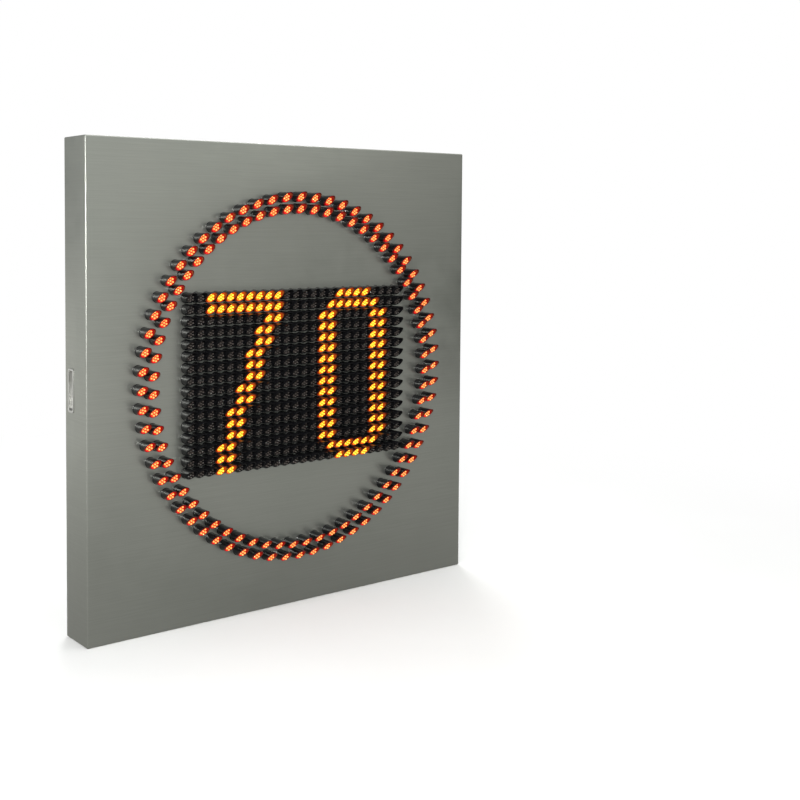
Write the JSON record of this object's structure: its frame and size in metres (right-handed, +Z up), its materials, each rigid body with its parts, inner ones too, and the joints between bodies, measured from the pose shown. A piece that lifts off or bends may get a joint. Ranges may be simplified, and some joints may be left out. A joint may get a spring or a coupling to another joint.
{
  "type": "led speed limit sign",
  "caption": "Square shallow sheet-metal cabinet with hooded LED tubes: digits inside a double ring, rear service door and mounting rails.",
  "frame": {"origin": "middle of the cabinet's bottom face, halfway between its front panel and its rear frame", "axes": "+Z up, the lit face looks along -Y, +X to the right seen from the front"},
  "size_m": [1.003, 0.1483, 1],
  "materials": {
    "cabinet_sheet": "fine brushed, satin",
    "tube_plastic": "gloss black",
    "red_led": "lit red",
    "amber_led": "lit amber",
    "unlit_led": "unlit resin domes",
    "green_board": "solder mask",
    "zinc_steel": "zinc plated",
    "perforated_steel": "perforated plated sheet",
    "stainless": "satin",
    "grey_plastic": "matte light grey",
    "orange_plastic": "matte orange",
    "black_plastic": "matte black",
    "gasket_rubber": "foam rubber",
    "brass": "machined"
  },
  "bodies": {
    "cabinet": {"cable_gland": "grey_plastic", "circuit_breaker": "grey_plastic", "control_board": "green_board", "cross_bar_lower": "zinc_steel", "cross_bar_upper": "zinc_steel", "din_rail": "zinc_steel", "earth_stud": "brass", "equipment_plate": "zinc_steel", "field_module_1_1": "tube_plastic", "field_module_1_2": "tube_plastic", "field_module_2_1": "tube_plastic", "field_module_2_2": "tube_plastic", "field_module_3_1": "tube_plastic", "field_module_3_2": "tube_plastic", "front_shell": "cabinet_sheet", "gland_locknut": "grey_plastic", "hinge_1_frame_leaf": "stainless", "hinge_1_pin": "stainless", "hinge_2_frame_leaf": "stainless", "hinge_2_pin": "stainless", "module_bar_left": "zinc_steel", "module_bar_right": "zinc_steel", "mounting_rail_lower": "zinc_steel", "mounting_rail_upper": "zinc_steel", "power_loom": "black_plastic", "power_supply": "perforated_steel", "rail_bolt_1": "stainless", "rail_bolt_2": "stainless", "rail_bolt_3": "stainless", "rail_bolt_4": "stainless", "rear_frame": "cabinet_sheet", "ring_module_1": "tube_plastic", "ring_module_2": "tube_plastic", "ring_module_3": "tube_plastic", "ring_module_4": "tube_plastic", "ring_module_5": "tube_plastic", "ring_module_6": "tube_plastic", "ring_module_7": "tube_plastic", "ring_module_8": "tube_plastic", "side_pull_left": "stainless", "side_pull_right": "stainless", "signal_loom": "grey_plastic", "supply_loom": "black_plastic", "surge_arrester": "orange_plastic", "terminal_block": "grey_plastic"},
    "door": {"rear_door": "cabinet_sheet", "door_gasket": "gasket_rubber", "door_stiffener": "zinc_steel", "hinge_1_door_leaf": "stainless", "hinge_2_door_leaf": "stainless", "lower_lock_housing": "stainless", "upper_lock_housing": "stainless", "lower_lock_nut": "brass", "upper_lock_nut": "brass"},
    "lower_lock": {"lower_lock_plug": "stainless", "lower_lock_cam": "zinc_steel"},
    "upper_lock": {"upper_lock_plug": "stainless", "upper_lock_cam": "zinc_steel"},
    "breaker_lever": {"breaker_lever": "black_plastic"}
  },
  "joints": [
    {"name": "door_hinge", "type": "hinge", "parent": "cabinet", "child": "door", "pos_m": [0.434, 0.0523, 0.5], "axis": [0, 0, -1], "range_deg": [0, 120]},
    {"name": "lower_lock_turn", "type": "hinge", "parent": "door", "child": "lower_lock", "pos_m": [-0.378, 0.05, 0.3], "axis": [0, -1, 0], "range_deg": [0, 90]},
    {"name": "upper_lock_turn", "type": "hinge", "parent": "door", "child": "upper_lock", "pos_m": [-0.378, 0.05, 0.7], "axis": [0, -1, 0], "range_deg": [0, 90]},
    {"name": "breaker_toggle", "type": "hinge", "parent": "cabinet", "child": "breaker_lever", "pos_m": [-0.217, 0.0339, 0.335], "axis": [-1, 0, 0], "range_deg": [0, 70]}
  ]
}
